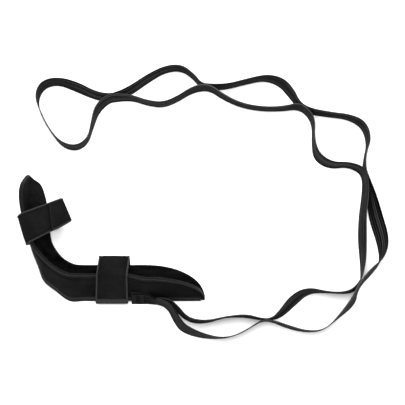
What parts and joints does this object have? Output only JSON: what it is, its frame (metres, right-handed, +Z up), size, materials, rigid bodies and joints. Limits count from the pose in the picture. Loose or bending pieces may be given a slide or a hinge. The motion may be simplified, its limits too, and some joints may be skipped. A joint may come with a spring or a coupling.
{
  "type": "stretching strap",
  "caption": "Soft L-shaped foot cradle that opens along one side, with forefoot and ankle hook-and-loop straps and a long webbing pull strap sewn into a chain of grip loops.",
  "frame": {"origin": "bottom centre of the cradle's box, without the pull strap; the cradle lies on its left wall on the floor", "axes": "+X from the heel corner to the toe tip along the sole, +Y up the leg side, +Z up from the floor towards the cradle's right wall"},
  "size_m": [0.5428, 0.4477, 0.0892],
  "materials": {
    "neoprene_cover": "matte brushed nylon jersey",
    "neoprene_foam": "closed cell foam",
    "neoprene_lining": "soft jersey with a faint sheen",
    "rim_binding": "satin woven tape",
    "seam_tape": "woven tape",
    "strap_fabric": "brushed loop fabric",
    "strap_edging": "satin woven tape",
    "loop_pile": "matte looped pile",
    "hook_tape": "fine moulded hooks",
    "webbing": "ribbed nylon weave",
    "thread": "bonded nylon thread"
  },
  "bodies": {
    "sole": {"sole_left_cover": "neoprene_cover", "sole_left_foam": "neoprene_foam", "sole_left_lining": "neoprene_lining", "sole_left_binding": "rim_binding", "sole_right_cover": "neoprene_cover", "sole_right_foam": "neoprene_foam", "sole_right_lining": "neoprene_lining", "sole_right_binding": "rim_binding", "toe_nose": "seam_tape", "keel_tape": "seam_tape", "heel_tape": "seam_tape", "ankle_flex_left": "neoprene_cover", "ankle_flex_right": "neoprene_cover", "forefoot_strap_base": "strap_fabric", "forefoot_base_edging": "strap_edging", "forefoot_pile_patch": "loop_pile", "forefoot_anchor_patch": "seam_tape", "pull_strap_tails": "webbing", "pull_strap_anchor": "webbing", "anchor_stitches": "thread"},
    "upright": {"upright_left_cover": "neoprene_cover", "upright_left_foam": "neoprene_foam", "upright_left_lining": "neoprene_lining", "upright_left_binding": "rim_binding", "upright_right_cover": "neoprene_cover", "upright_right_foam": "neoprene_foam", "upright_right_lining": "neoprene_lining", "upright_right_binding": "rim_binding", "back_tape": "seam_tape", "ankle_strap_band": "strap_fabric", "ankle_band_edging": "strap_edging", "ankle_pile_patch": "loop_pile"},
    "ankle_tab": {"ankle_tab": "strap_fabric", "ankle_tab_edging": "strap_edging", "ankle_hook_patch": "hook_tape"},
    "forefoot_tab": {"forefoot_tab": "strap_fabric", "forefoot_tab_edging": "strap_edging", "forefoot_hook_patch": "hook_tape"},
    "pull_strap": {"pull_strap": "webbing", "grip_joint_1": "thread", "grip_joint_2": "thread", "grip_joint_3": "thread", "grip_joint_4": "thread", "grip_joint_5": "thread", "grip_joint_6": "thread"}
  },
  "joints": [
    {"name": "ankle_fold", "type": "hinge", "parent": "sole", "child": "upright", "pos_m": [-0.103, -0.059, 0], "axis": [0, 0, 1], "range_deg": [-20, 35], "deforming": ["ankle_flex_left", "ankle_flex_right"]},
    {"name": "ankle_tab_peel", "type": "hinge", "parent": "upright", "child": "ankle_tab", "pos_m": [-0.07518, 0.05211, 0.06011], "axis": [-0.3871, 0.8542, 0.347], "range_deg": [0, 140]},
    {"name": "forefoot_tab_peel", "type": "hinge", "parent": "sole", "child": "forefoot_tab", "pos_m": [0, -0.0328, 0.0412], "axis": [-1, 0, 0], "range_deg": [0, 120]},
    {"name": "pull_strap_swing", "type": "hinge", "parent": "sole", "child": "pull_strap", "pos_m": [0.067, -0.09435, 0], "axis": [0, 0, 1], "range_deg": [-20, 3]}
  ]
}
